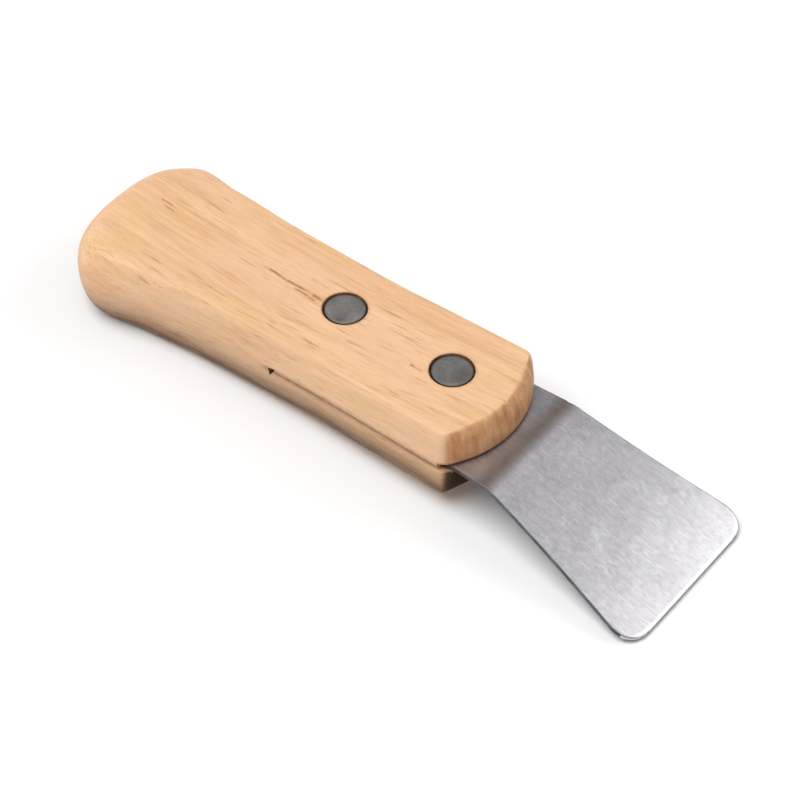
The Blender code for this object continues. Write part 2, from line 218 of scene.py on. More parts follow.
class Nodes:
    """A few short words for building a material."""

    def __init__(self, name):
        self.mat = bpy.data.materials.new(name)
        self.mat.use_nodes = True
        self.tree = self.mat.node_tree
        self.shader = self.tree.nodes["Principled BSDF"]
        # the handle's own axes, so that the grain follows the handle, which lies tilted
        back = self.tree.nodes.new("ShaderNodeMapping")
        self.tree.links.new(self.tree.nodes.new("ShaderNodeTexCoord").outputs["Object"], back.inputs["Vector"])
        OWN_AXES.append(back)
        self.coord = back.outputs[0]

    def new(self, kind, **inputs):
        made = self.tree.nodes.new(kind)
        for key, value in inputs.items():
            if key in ("operation", "blend_type", "data_type", "noise_dimensions", "distance", "feature", "attribute_name", "bands_direction", "wave_type", "wave_profile", "interpolation_type", "clamp", "noise_type", "normalize", "voronoi_dimensions"):
                setattr(made, key, value)
        return made

    def put(self, value, socket):
        if isinstance(value, bpy.types.NodeSocket):
            self.tree.links.new(value, socket)
        else:
            socket.default_value = value

    def math(self, op, a, b=None, c=None, clamp=False):
        made = self.tree.nodes.new("ShaderNodeMath")
        made.operation = op
        made.use_clamp = clamp
        self.put(a, made.inputs[0])
        if b is not None:
            self.put(b, made.inputs[1])
        if c is not None:
            self.put(c, made.inputs[2])
        return made.outputs[0]

    def mapped(self, scale, shift=(0, 0, 0), vector=None, rotate=(0, 0, 0)):
        """Object coordinates in millimetres, stretched by scale."""
        made = self.tree.nodes.new("ShaderNodeMapping")
        made.inputs["Scale"].default_value = [1000 * s for s in scale] if vector is None else scale
        made.inputs["Location"].default_value = shift
        made.inputs["Rotation"].default_value = rotate
        self.put(self.coord if vector is None else vector, made.inputs["Vector"])
        return made.outputs[0]

    def noise(self, vector, scale=1.0, detail=3.0, rough=0.5, distort=0.0):
        made = self.tree.nodes.new("ShaderNodeTexNoise")
        self.put(vector, made.inputs["Vector"])
        made.inputs["Scale"].default_value = scale
        made.inputs["Detail"].default_value = detail
        made.inputs["Roughness"].default_value = rough
        made.inputs["Distortion"].default_value = distort
        return made.outputs["Fac"]

    def ramp(self, value, stops, ease="LINEAR"):
        made = self.tree.nodes.new("ShaderNodeValToRGB")
        made.color_ramp.interpolation = ease
        while len(made.color_ramp.elements) < len(stops):
            made.color_ramp.elements.new(0.5)
        for element, (at, colour) in zip(made.color_ramp.elements, stops):
            element.position = at
            element.color = (*colour, 1.0) if isinstance(colour, tuple) else (colour, colour, colour, 1.0)
        self.put(value, made.inputs[0])
        return made.outputs[0]

    def mix(self, fac, a, b, blend="MIX"):
        made = self.tree.nodes.new("ShaderNodeMix")
        made.data_type = "RGBA"
        made.blend_type = blend
        self.put(fac, made.inputs["Factor"])
        for value, socket in ((a, made.inputs[6]), (b, made.inputs[7])):
            self.put((*value, 1.0) if isinstance(value, tuple) and len(value) == 3 else value, socket)
        return made.outputs[2]

    def attribute(self, name):
        made = self.tree.nodes.new("ShaderNodeAttribute")
        made.attribute_name = name
        return made.outputs["Fac"]

    def axes(self):
        made = self.tree.nodes.new("ShaderNodeSeparateXYZ")
        self.put(self.mapped((1, 1, 1)), made.inputs[0])
        return made.outputs

    def bump(self, height, distance, strength=1.0, onto=None):
        made = self.tree.nodes.new("ShaderNodeBump")
        made.inputs["Distance"].default_value = distance
        made.inputs["Strength"].default_value = strength
        self.put(height, made.inputs["Height"])
        if onto is not None:
            self.put(onto, made.inputs["Normal"])
        return made.outputs[0]

    def set(self, **values):
        names = {"colour": "Base Color", "rough": "Roughness", "metal": "Metallic", "normal": "Normal", "specular": "Specular IOR Level", "coat": "Coat Weight", "coat_rough": "Coat Roughness", "anisotropic": "Anisotropic", "ior": "IOR"}
        for key, value in values.items():
            if isinstance(value, tuple) and len(value) == 3:
                value = (*value, 1.0)
            self.put(value, self.shader.inputs[names[key]])
        return self.mat


def srgb(r, g, b):
    def lin(v):
        v /= 255
        return v / 12.92 if v <= 0.04045 else ((v + 0.055) / 1.055) ** 2.4

    return lin(r), lin(g), lin(b)


# ------------------------------------------------------------------ materials
# single pores that stand out on the top face: from x, to x, y, slope, half width (mm)
LONG_PORES = (
    (-50.0, -43.5, 1.0, -0.030, 0.36),
    (-44.5, -33.2, 0.75, -0.035, 0.42),
    (-41.0, -34.5, -0.45, -0.03, 0.26),
    (-81.0, -77.0, 3.6, -0.03, 0.22),
    (-79.5, -76.0, 2.4, -0.02, 0.20),
    (-8.0, -4.6, -3.3, -0.02, 0.32),
)
WOOD_TONES = ((196, 146, 104), (216, 169, 125), (227, 184, 141), (237, 199, 159))


def wood():
    n = Nodes("handle_wood")
    x, y, z = n.axes()
    # the grain bows gently along the handle
    from_bow = n.math("ADD", x, 30.0)
    bow = n.math("MULTIPLY", n.math("MULTIPLY", from_bow, from_bow), -0.0009)
    sway_y = n.math("SUBTRACT", n.noise(n.mapped((0.022, 0.10, 0.10)), 1.0, 2.0), 0.5)
    sway_z = n.math("SUBTRACT", n.noise(n.mapped((0.022, 0.12, 0.12), (31, 7, 3)), 1.0, 2.0), 0.5)
    combine = n.tree.nodes.new("ShaderNodeCombineXYZ")
    n.put(x, combine.inputs[0])
    n.put(n.math("ADD", n.math("ADD", y, bow), n.math("MULTIPLY", sway_y, 2.4)), combine.inputs[1])
    n.put(n.math("ADD", z, n.math("MULTIPLY", sway_z, 2.4)), combine.inputs[2])
    grain = combine.outputs[0]

    def along(x, y, z, shift=(0, 0, 0)):
        return n.mapped((x, y, z), shift, vector=grain)

    # broad bands of early and late wood, then streaks and fibres
    bands = n.noise(along(0.014, 0.26, 0.20), 1.0, 3.0, 0.55)
    streaks = n.noise(along(0.055, 1.05, 0.90, (4, 9, 2)), 1.0, 4.0, 0.62)
    fibres = n.noise(along(0.20, 3.8, 3.4, (7, 3, 11)), 1.0, 3.0, 0.6)
    patches = n.noise(along(0.040, 0.13, 0.13, (17, 23, 5)), 1.0, 2.0)
    tone = n.math("ADD", n.math("MULTIPLY", bands, 0.34), n.math("ADD", n.math("MULTIPLY", streaks, 0.38), n.math("MULTIPLY", fibres, 0.28)))
    colour = n.ramp(
        tone,
        [
            (0.36, srgb(*WOOD_TONES[0])),
            (0.45, srgb(*WOOD_TONES[1])),
            (0.54, srgb(*WOOD_TONES[2])),
            (0.66, srgb(*WOOD_TONES[3])),
        ],
    )
    colour = n.mix(n.ramp(patches, [(0.40, 0.0), (0.62, 0.60)]), colour, srgb(230, 186, 149))
    colour = n.mix(n.ramp(patches, [(0.32, 0.55), (0.47, 0.0)]), colour, srgb(226, 184, 134))
    # dark pores: short dashes along the grain, in loose groups
    dash = n.noise(along(0.125, 1.65, 1.5, (3, 41, 13)), 1.0, 2.0, 0.45)
    where = n.noise(along(0.045, 0.20, 0.20, (9, 2, 29)), 1.0, 1.0)
    side_grain = n.math("SUBTRACT", 1.0, n.attribute("end_grain"), clamp=True)
    side_grain = n.math("MULTIPLY", side_grain, n.ramp(n.math("DIVIDE", n.math("ADD", x, 92.0), 20.0), [(0.12, 0.0), (0.42, 1.0)]))
    dashes = n.math("MULTIPLY", n.ramp(dash, [(0.595, 0.0), (0.69, 1.0)]), n.ramp(where, [(0.46, 0.0), (0.58, 1.0)]))
    dashes = n.math("MULTIPLY", dashes, side_grain)
    wavy = n.math("MULTIPLY", n.math("SUBTRACT", n.noise(n.mapped((0.16, 0.3, 0.3), (8, 8, 8)), 1.0, 2.0), 0.5), 1.1)
    on_top = n.ramp(n.math("DIVIDE", z, 20.0), [(0.80, 0.0), (0.86, 1.0)])
    pores = None
    for x0, x1, at, slope, half in LONG_PORES:
        off = n.math("SUBTRACT", n.math("SUBTRACT", y, at), n.math("MULTIPLY", n.math("SUBTRACT", x, x0), slope))
        off = n.math("ABSOLUTE", n.math("ADD", off, wavy))
        thin = n.ramp(n.math("DIVIDE", off, half * 2), [(0.25, 1.0), (0.62, 0.0)])
        part = n.math("DIVIDE", n.math("SUBTRACT", x, x0), x1 - x0)
        long = n.ramp(part, [(0.0, 0.0), (0.12, 1.0), (0.88, 1.0), (1.0, 0.0)])
        broken = n.ramp(n.noise(n.mapped((0.32, 0.9, 0.9), (x1, at, 3)), 1.0, 1.0), [(0.36, 0.3), (0.46, 1.0)])
        pore = n.math("MULTIPLY", n.math("MULTIPLY", thin, long), n.math("MULTIPLY", broken, on_top))
        pores = pore if pores is None else n.math("MAXIMUM", pores, pore)
    fine = n.ramp(n.noise(along(0.30, 4.6, 4.2, (5, 5, 5)), 1.0, 1.0, 0.4), [(0.60, 0.0), (0.74, 1.0)])
    colour = n.mix(n.math("MULTIPLY", dashes, 0.60), colour, srgb(180, 126, 82))
    colour = n.mix(n.math("MULTIPLY", pores, 0.80), colour, srgb(158, 103, 62))
    colour = n.mix(n.math("MULTIPLY", n.math("MULTIPLY", fine, side_grain), 0.34), colour, srgb(184, 130, 86))
    # end grain drinks the oil: darker, blotched, with faint lines up and down
    end = n.attribute("end_grain")
    lines = n.noise(n.mapped((0.3, 0.75, 0.06), (2, 8, 4)), 1.0, 3.0, 0.5)
    blot = n.noise(n.mapped((0.3, 0.26, 0.24), (1, 2, 3)), 1.0, 2.0, 0.5)
    speck = n.noise(n.mapped((2.6, 2.6, 2.6), (1, 2, 3)), 1.0, 2.0, 0.5)
    end_tone = n.math("ADD", n.math("MULTIPLY", lines, 0.42), n.math("ADD", n.math("MULTIPLY", blot, 0.38), n.math("MULTIPLY", speck, 0.20)))
    end_colour = n.ramp(end_tone, [(0.38, srgb(174, 116, 70)), (0.5, srgb(198, 143, 96)), (0.62, srgb(216, 168, 124))])
    colour = n.mix(end, colour, end_colour)
    # painted shade: dark brown round the rivet bores, along and above the kerf, on the end over the plate and in the
    # gap above it; then painted shade on the lower arris
    painted_shade = None
    for cx, cy in RIVETS.values():
        dx, dy = n.math("SUBTRACT", x, cx), n.math("SUBTRACT", y, cy)
        r = n.math("SQRT", n.math("ADD", n.math("MULTIPLY", dx, dx), n.math("MULTIPLY", dy, dy)))
        ring = n.ramp(n.math("DIVIDE", r, 10.0), [(0.478, 1.0), (0.500, 0.25), (0.56, 0.0)])
        painted_shade = ring if painted_shade is None else n.math("MAXIMUM", painted_shade, ring)
    near = n.math("ABSOLUTE", n.math("SUBTRACT", z, KERF_MID))
    line = n.math("MULTIPLY", n.ramp(n.math("DIVIDE", near, 10.0), [(0.02, 0.80), (0.06, 0.40), (0.14, 0.0)]), n.ramp(n.math("DIVIDE", n.math("ADD", x, 60.0), 80.0), [(0.27, 0.0), (0.31, 1.0)]))
    painted_shade = n.math("MAXIMUM", painted_shade, line)
    above = n.ramp(n.math("DIVIDE", n.math("SUBTRACT", z, KERF_MID), 10.0), [(0.0, 0.0), (0.01, 0.62), (0.05, 0.50), (0.16, 0.0)])
    above = n.math("MULTIPLY", above, n.ramp(n.math("DIVIDE", n.math("ADD", x, 60.0), 80.0), [(0.45, 0.15), (0.85, 1.0)]))
    painted_shade = n.math("MAXIMUM", painted_shade, n.math("MULTIPLY", above, n.math("SUBTRACT", 1.0, end, clamp=True)))
    over = n.ramp(n.math("DIVIDE", n.math("SUBTRACT", z, PLATE_TOP), 10.0), [(0.0, 0.8), (0.10, 0.34), (0.45, 0.0)])
    over = n.math("MULTIPLY", over, end)
    painted_shade = n.math("MAXIMUM", painted_shade, n.math("MULTIPLY", over, 0.8))
    painted_shade = n.math("MULTIPLY", painted_shade, n.ramp(n.noise(n.mapped((0.8, 0.8, 0.8), (6, 6, 1)), 1.0, 3.0), [(0.3, 0.6), (0.6, 1.0)]))
    lip = n.ramp(n.math("DIVIDE", n.math("ABSOLUTE", n.math("SUBTRACT", z, PLATE_TOP + 0.42)), 10.0), [(0.040, 0.55), (0.075, 0.0)])
    lip = n.math("MULTIPLY", lip, n.ramp(n.math("DIVIDE", x, 20.0), [(0.40, 0.0), (0.50, 1.0)]))
    painted_shade = n.math("MAXIMUM", painted_shade, lip)
    # the painted shade goes in as dark brown
    colour = n.mix(n.math("MULTIPLY", painted_shade, 0.84), colour, srgb(118, 74, 44))
    # painted shade on the lower arris, darker towards the bottom
    low_shade = n.math("MULTIPLY", n.attribute("low_edge"), n.ramp(n.noise(n.mapped((0.10, 0.5, 0.8), (6, 16, 1)), 1.0, 3.0), [(0.3, 0.84), (0.65, 1.08)]), clamp=True)
    colour = n.mix(low_shade, colour, srgb(86, 56, 31))
    # the lower half's front end: painted shadow of the blade over it, near black, deepest furthest in
    inside = n.ramp(n.math("DIVIDE", n.math("ABSOLUTE", y), 20.0), [(0.66, 1.0), (0.745, 0.95), (0.785, 0.62)])
    inside = n.math("MULTIPLY", inside, n.ramp(n.math("DIVIDE", x, 20.0), [(0.30, 0.0), (0.40, 1.0)]))
    end_shadow = n.math("MULTIPLY", n.math("MULTIPLY", end, inside), n.ramp(n.math("DIVIDE", z, 10.0), [((KERF_MID - 1.3) / 10, 1.0), ((KERF_MID - 0.6) / 10, 0.0)]))
    colour = n.mix(end_shadow, colour, srgb(52, 33, 21))
    rough = n.math("ADD", n.math("MULTIPLY", tone, -0.25), 0.60)
    rough = n.math("ADD", rough, n.math("MULTIPLY", dashes, 0.15))
    rough = n.math("ADD", rough, n.math("MULTIPLY", end, 0.12))
    height = n.math("SUBTRACT", n.math("ADD", n.math("MULTIPLY", fibres, 0.5), n.math("MULTIPLY", streaks, 0.35)), n.math("ADD", n.math("MULTIPLY", dashes, 0.5), n.math("MULTIPLY", fine, 0.3)))
    normal = n.bump(height, 0.00009, 0.7)
    normal = n.bump(n.math("MULTIPLY", n.math("ADD", lines, n.math("MULTIPLY", speck, 0.3)), end), 0.00014, 0.5, normal)
    # the painted shadow on the lower front end and the painted shade on the lower arris shine less
    shine = n.math("SUBTRACT", 0.42, n.math("MULTIPLY", n.math("MAXIMUM", end_shadow, n.math("MULTIPLY", low_shade, 0.6)), 0.38))
    return n.set(colour=colour, rough=rough, normal=normal, specular=shine, coat=0.02, coat_rough=0.38)


def cut_wood():
    n = Nodes("kerf_wood")
    # cut faces in the kerf, pocket, notch and bores: darker brown, painted shade of the slot; plain wood tone where the
    # mouth opens at the front corners
    lines = n.noise(n.mapped((1.6, 0.25, 2.6)), 1.0, 3.0, 0.6)
    blot = n.noise(n.mapped((0.3, 0.3, 0.3), (4, 1, 2)), 1.0, 3.0)
    colour = n.ramp(n.math("ADD", n.math("MULTIPLY", lines, 0.5), n.math("MULTIPLY", blot, 0.5)), [(0.38, srgb(96, 60, 32)), (0.62, srgb(160, 112, 70))])
    x, y, z = n.axes()
    aside = n.math("DIVIDE", n.math("ABSOLUTE", y), 20.0)
    mouth = n.math("MULTIPLY", n.ramp(aside, [(0.70, 0.0), (0.735, 1.0)]), n.ramp(n.math("DIVIDE", x, 20.0), [(0.42, 0.0), (0.46, 1.0)]))
    colour = n.mix(mouth, colour, srgb(222, 176, 132))
    return n.set(colour=colour, rough=n.math("ADD", n.math("MULTIPLY", lines, 0.2), 0.7), normal=n.bump(lines, 0.00012), specular=0.25)


def steel():
    n = Nodes("blade_steel")
    cloud = n.noise(n.mapped((0.15, 0.18, 0.2), (3, 5, 7)), 1.0, 4.0, 0.6, 0.4)
    mottle = n.noise(n.mapped((0.75, 0.9, 0.6), (8, 1, 4)), 1.0, 2.0, 0.5, 0.5)
    brush = n.noise(n.mapped((0.10, 3.4, 1.0), (2, 2, 9), rotate=(0, 0, 0.06)), 1.0, 4.0, 0.65)
    cross = n.noise(n.mapped((0.5, 2.2, 1.0), (12, 2, 9), rotate=(0, 0, 0.5)), 1.0, 3.0, 0.6)
    scratch_a = n.ramp(n.noise(n.mapped((0.075, 2.3, 1.0), (5, 31, 2), rotate=(0, 0, -0.08)), 1.0, 1.0, 0.3), [(0.63, 0.0), (0.67, 1.0)])
    scratch_b = n.ramp(n.noise(n.mapped((0.16, 3.4, 1.0), (25, 3, 2), rotate=(0, 0, 0.42)), 1.0, 1.0, 0.3), [(0.68, 0.0), (0.72, 1.0)])
    scratch_c = n.ramp(n.noise(n.mapped((0.13, 3.0, 1.0), (45, 13, 2), rotate=(0, 0, -0.7)), 1.0, 1.0, 0.3), [(0.69, 0.0), (0.73, 1.0)])
    fleck = n.ramp(n.noise(n.mapped((0.8, 1.0, 1.0), (15, 23, 2)), 1.0, 1.0, 0.4), [(0.60, 0.0), (0.74, 1.0)])
    tone = n.math("ADD", n.math("MULTIPLY", cloud, 0.34), n.math("ADD", n.math("MULTIPLY", mottle, 0.44), n.math("MULTIPLY", brush, 0.22)))
    base = n.ramp(tone, [(0.36, srgb(182, 179, 183)), (0.5, srgb(191, 189, 193)), (0.64, srgb(202, 200, 203))])
    base = n.mix(n.math("MULTIPLY", scratch_a, 0.24), base, srgb(228, 226, 230))
    base = n.mix(n.math("MULTIPLY", scratch_b, 0.18), base, srgb(222, 220, 224))
    base = n.mix(n.math("MULTIPLY", scratch_c, 0.24), base, srgb(156, 153, 158))
    base = n.mix(n.math("MULTIPLY", fleck, 0.16), base, srgb(230, 229, 232))
    # strip in front of the handle: warmer, darker base colour, a painted reflection of the wooden handle; rougher too
    base = n.mix(n.ramp(n.math("DIVIDE", n.axes()[0], 40.0), [(0.41, 0.0), (0.47, 0.60), (0.51, 0.60), (0.56, 0.0)]), base, srgb(168, 146, 130))
    rough = n.math("ADD", n.math("MULTIPLY", cloud, 0.10), n.math("ADD", n.math("MULTIPLY", mottle, 0.04), 0.12))
    rough = n.math("ADD", rough, n.math("MULTIPLY", brush, 0.05))
    rough = n.math("ADD", rough, n.ramp(n.math("DIVIDE", n.axes()[0], 40.0), [(0.40, 0.16), (0.54, 0.0)]))
    height = n.math("ADD", n.math("MULTIPLY", brush, 0.5), n.math("ADD", n.math("MULTIPLY", mottle, 0.13), n.math("MULTIPLY", cross, 0.14)))
    height = n.math("SUBTRACT", height, n.math("ADD", n.math("MULTIPLY", scratch_a, 0.2), n.math("MULTIPLY", scratch_b, 0.12)))
    return n.set(colour=base, rough=rough, metal=1.0, normal=n.bump(height, 0.000006, 0.8))


def steel_edge():
    n = Nodes("blade_edge_steel")
    lines = n.noise(n.mapped((0.5, 1.2, 4.5)), 1.0, 3.0, 0.6)
    blot = n.noise(n.mapped((0.35, 0.35, 0.35), (3, 3, 3)), 1.0, 2.0)
    # dark base: the sheared edge's own darker steel, deepened as painted shade for the dark ground it mirrors
    base = n.ramp(n.math("ADD", n.math("MULTIPLY", lines, 0.5), n.math("MULTIPLY", blot, 0.5)), [(0.36, srgb(74, 75, 77)), (0.64, srgb(112, 113, 115))])
    # painted shade where the edge runs into the handle's mouth: dark brown
    x = n.axes()[0]
    base = n.mix(n.ramp(n.math("DIVIDE", x, 20.0), [(0.66, 0.85), (0.86, 0.0)]), base, srgb(62, 44, 32))
    return n.set(colour=base, rough=n.math("ADD", n.math("MULTIPLY", lines, 0.2), 0.35), metal=0.9, normal=n.bump(lines, 0.00008))


def rivet_steel():
    n = Nodes("rivet_head_steel")
    x, y, z = n.axes()
    cloud = n.noise(n.mapped((0.28, 0.34, 0.3), (2, 7, 1)), 1.0, 3.0, 0.6)
    brush = n.noise(n.mapped((0.9, 5.0, 1.0), (1, 1, 1), rotate=(0, 0, 0.6)), 1.0, 3.0, 0.6)
    speck = n.noise(n.mapped((2.2, 2.2, 2.2), (3, 8, 1)), 1.0, 2.0, 0.6)
    base = n.ramp(n.math("ADD", n.math("MULTIPLY", cloud, 0.6), n.math("MULTIPLY", brush, 0.4)), [(0.36, srgb(133, 130, 126)), (0.5, srgb(149, 147, 144)), (0.64, srgb(164, 163, 162))])
    base = n.mix(n.ramp(n.math("DIVIDE", n.math("ADD", x, 28.5), 28.5), [(0.2, 0.0), (0.8, 0.22)]), base, srgb(100, 92, 84))
    base = n.mix(n.ramp(speck, [(0.60, 0.0), (0.72, 0.5)]), base, srgb(112, 102, 92))
    rim = None
    for cx, cy in RIVETS.values():
        dx, dy = n.math("SUBTRACT", x, cx), n.math("SUBTRACT", y, cy)
        r = n.math("SQRT", n.math("ADD", n.math("MULTIPLY", dx, dx), n.math("MULTIPLY", dy, dy)))
        r = n.math("ADD", r, n.math("MULTIPLY", n.math("SUBTRACT", cloud, 0.5), 0.5))
        ring = n.ramp(n.math("DIVIDE", r, 10.0), [(0.395, 0.0), (0.44, 0.75), (0.46, 0.9), (0.52, 0.0)])
        rim = ring if rim is None else n.math("MAXIMUM", rim, ring)
    base = n.mix(rim, base, srgb(84, 70, 58))
    rough = n.math("ADD", n.math("MULTIPLY", cloud, 0.25), n.math("ADD", n.math("MULTIPLY", rim, 0.25), 0.34))
    return n.set(colour=base, rough=rough, metal=1.0, normal=n.bump(n.math("ADD", brush, n.math("MULTIPLY", speck, 0.5)), 0.00006, 0.8))


def shank_steel():
    n = Nodes("rivet_shank_steel")
    lines = n.noise(n.mapped((1.0, 1.0, 4.0)), 1.0, 3.0, 0.6)
    base = n.ramp(lines, [(0.36, srgb(116, 114, 112)), (0.64, srgb(160, 158, 156))])
    return n.set(colour=base, rough=n.math("ADD", n.math("MULTIPLY", lines, 0.2), 0.32), metal=1.0, normal=n.bump(lines, 0.00006))


WOOD, KERF_WOOD, STEEL, STEEL_EDGE, RIVET, SHANK = wood(), cut_wood(), steel(), steel_edge(), rivet_steel(), shank_steel()


# ------------------------------------------------------------------ handle
def prism(name, points, low, high, index=1):
    bm = bmesh.new()
    bottom = [bm.verts.new((x, y, low)) for x, y in points]
    top = [bm.verts.new((x, y, high)) for x, y in points]
    bm.faces.new(top)
    bm.faces.new(bottom[::-1])
    for k in range(len(points)):
        bm.faces.new((bottom[k - 1], bottom[k], top[k], top[k - 1]))
    for f in bm.faces:
        f.material_index = index
    return make(name, bm, [WOOD, KERF_WOOD])


def lathed(name, x, y, profile, materials, steps=96, index=0, aside=None):
    """Solid of revolution from an (r, z) profile that starts and ends on the axis. aside shifts single rings."""
    bm = bmesh.new()
    rings = []
    for j, (r, z) in enumerate(profile):
        sx, sy = (aside or {}).get(j, (0.0, 0.0))
        if r == 0:
            rings.append([bm.verts.new((x, y, z))])
        else:
            rings.append([bm.verts.new((x + sx + r * math.cos(2 * math.pi * k / steps), y + sy + r * math.sin(2 * math.pi * k / steps), z)) for k in range(steps)])
    for a, b in zip(rings, rings[1:]):
        for k in range(steps):
            if len(a) == 1:
                bm.faces.new((a[0], b[k - 1], b[k]))
            elif len(b) == 1:
                bm.faces.new((a[k - 1], b[0], a[k]))
            else:
                bm.faces.new((a[k - 1], b[k - 1], b[k], a[k]))
    for f in bm.faces:
        f.material_index = index
    return make(name, bm, materials)


def hand_finish(p, normal):
    """Slight unevenness left by the sander: a few hundredths of a millimetre, always inwards."""
    a = noise.noise(Vector((p.x * 0.05, p.y * 0.13, p.z * 0.16)) + Vector((3.1, 7.7, 1.3)))
    b = noise.noise(Vector((p.x * 0.16, p.y * 0.42, p.z * 0.42)) + Vector((9.4, 2.2, 5.1)))
    return p - normal * (SKIN + 0.045 * (0.5 + 0.5 * a) + 0.016 * (0.5 + 0.5 * b))


def build_handle():
    ring = outline()
    inward = normals_in(ring)
    count = len(ring)
    levels, caps = 22, 14
    middle = THICK / 2
    bm = bmesh.new()
    rows = []
    for j in range(-levels, levels + 1):
        w = math.pi / 2 * j / levels
        up, lean = math.sin(w), 1 - math.cos(w)
        row = []
        for p, n in zip(ring, inward):
            depth = inset(p, j > 0)
            q = p + n * depth * lean
            face = Vector((-n.x * math.cos(w), -n.y * math.cos(w), math.sin(w) * depth / middle)).normalized()
            row.append(bm.verts.new(hand_finish(Vector((q.x, q.y, middle + middle * up)), face)))
        rows.append(row)
    for low, high in zip(rows, rows[1:]):
        for k in range(count):
            bm.faces.new((low[k - 1], low[k], high[k], high[k - 1]))
    # flat faces, as rings that close on a line down the middle
    for top in (False, True):
        edge = rows[-1] if top else rows[0]
        level = THICK if top else 0.0
        up = Vector((0, 0, 1 if top else -1))
        rim = [p + n * inset(p, top) for p, n in zip(ring, inward)]
        last = edge
        for j in range(1, caps + 1):
            t = j / (caps + 0.0)
            row = []
            for k, p in enumerate(rim):
                spine = Vector((max(-74.0, min(2.0, p.x)), 0.0))
                q = p.lerp(spine, t * 0.985)
                row.append(bm.verts.new(hand_finish(Vector((q.x, q.y, level)), up)))
            for k in range(count):
                loop = (last[k - 1], last[k], row[k], row[k - 1])
                bm.faces.new(loop if top else loop[::-1])
            last = row
        bm.faces.new(last if top else last[::-1])
    obj = make("handle_beech", bm, [WOOD, KERF_WOOD], 40)

    cutters = []
    far_x, far_y = FRONT_X + 6, 24
    cutters.append(prism("slit", [(KERF_END, -far_y), (KERF_END, far_y), (far_x, far_y), (far_x, -far_y)], KERF_MID - KERF_SLIT / 2, KERF_MID + KERF_SLIT / 2))

    def tang(x):
        t = max(0.0, min(1.0, (x - TANG_END) / (MOUTH_X - TANG_END)))
        return TANG_REAR + (TANG_FRONT - TANG_REAR) * t

    rear = TANG_END - 0.4
    pocket = [(rear, -tang(rear) - GAP), (rear, tang(rear) + GAP), (MOUTH_X, tang(MOUTH_X) + GAP), (MOUTH_X + 1.5, far_y), (far_x, far_y)]
    pocket += [(far_x, -far_y), (MOUTH_X + 1.5, -far_y), (MOUTH_X, -tang(MOUTH_X) - GAP)]
    cutters.append(prism("pocket", pocket, KERF_MID - PLATE / 2 - GAP, KERF_MID + PLATE / 2 + GAP))
    bm = bmesh.new()
    notch = [(KERF_END - 0.855, KERF_MID + 0.494), (KERF_END + 1.045, KERF_MID + 0.846), (KERF_END - 0.38, KERF_MID - 1.504)]
    ends = [[bm.verts.new((x, y, z)) for x, z in notch] for y in (-far_y, far_y)]
    bm.faces.new(ends[0])
    bm.faces.new(ends[1][::-1])
    for k in range(3):
        bm.faces.new((ends[0][k - 1], ends[0][k], ends[1][k], ends[1][k - 1]))
    for f in bm.faces:
        f.material_index = 1
    cutters.append(make("notch", bm, [WOOD, KERF_WOOD]))
    # worn lips: the lower one slopes out, more and more towards the mouth; the upper stays crisp
    for side in (1, -1):
        path = [(p, n) for p, n in zip(ring, inward) if p.y * side > 8 and KERF_END - 0.4 < p.x < FRONT_CORNER_X + 1.8]
        path.sort(key=lambda pn: pn[0].x)
        bm = bmesh.new()
        rows = []
        for p, n in path:
            wob = 0.05 * noise.noise(Vector((p.x * 0.35, side * 3.0, 0.5)))
            open_up = step(KERF_END, FRONT_CORNER_X + 1, p.x)
            bite = 0.40 + 1.0 * open_up**1.5
            deep, out = p + n * (bite + wob), p - n * 0.6
            fall = (0.30 + 0.85 * open_up**1.5 + wob) * (bite + 0.6) / bite
            rows.append(
                [
                    bm.verts.new((deep.x, deep.y, KERF_MID - 0.14)),
                    bm.verts.new((deep.x, deep.y, KERF_MID + 0.16)),
                    bm.verts.new((out.x, out.y, KERF_MID + 0.24)),
                    bm.verts.new((out.x, out.y, KERF_MID - 0.14 - fall)),
                ]
            )
        for a, b in zip(rows, rows[1:]):
            for k in range(4):
                bm.faces.new((a[k - 1], a[k], b[k], b[k - 1]))
        bm.faces.new(rows[0])
        bm.faces.new(rows[-1][::-1])
        for f in bm.faces:
            f.material_index = 0
        cutters.append(make(f"lip_{side}", bm, [WOOD, KERF_WOOD]))
    # the upper half's front arris, broken all round the nose
    path = [(p, n) for p, n in zip(ring, inward) if p.x > 8.6]
    path.sort(key=lambda pn: pn[0].y)
    bm = bmesh.new()
    rows = []
    for p, n in path:
        deep, out = p + n * 0.55, p - n * 0.8
        rows.append(
            [
                bm.verts.new((deep.x, deep.y, PLATE_TOP - 0.4)),
                bm.verts.new((deep.x, deep.y, PLATE_TOP + 0.27)),
                bm.verts.new((out.x, out.y, PLATE_TOP + 1.15)),
                bm.verts.new((out.x, out.y, PLATE_TOP - 0.4)),
            ]
        )
    for a, b in zip(rows, rows[1:]):
        for k in range(4):
            bm.faces.new((a[k - 1], a[k], b[k], b[k - 1]))
    bm.faces.new(rows[0])
    bm.faces.new(rows[-1][::-1])
    for f in bm.faces:
        f.material_index = 0
    cutters.append(make("nose_arris", bm, [WOOD, KERF_WOOD]))
    for place, (cx, cy) in RIVETS.items():
        hole, wide, sunk = 2.75 + 0.28, HEAD_R + HEAD_CLEAR, SUNK + 1.5 + 0.28
        cutters.append(
            lathed(
                f"bore_{place}",
                cx,
                cy,
                [
                    (0, -3),
                    (wide + 3, -3),
                    (wide + 0.14, -0.02),
                    (wide, 0.2),
                    (wide, sunk),
                    (hole, sunk),
                    (hole, THICK - sunk),
                    (wide, THICK - sunk),
                    (wide, THICK - 0.26),
                    (wide + 0.17, THICK + 0.02),
                    (wide + 3, THICK + 3),
                    (0, THICK + 3),
                ],
                [WOOD, KERF_WOOD],
                index=1,
                aside={9: (-0.10, -0.12), 10: (-0.10, -0.12)},
            )
        )
    carve(obj, cutters, 34)

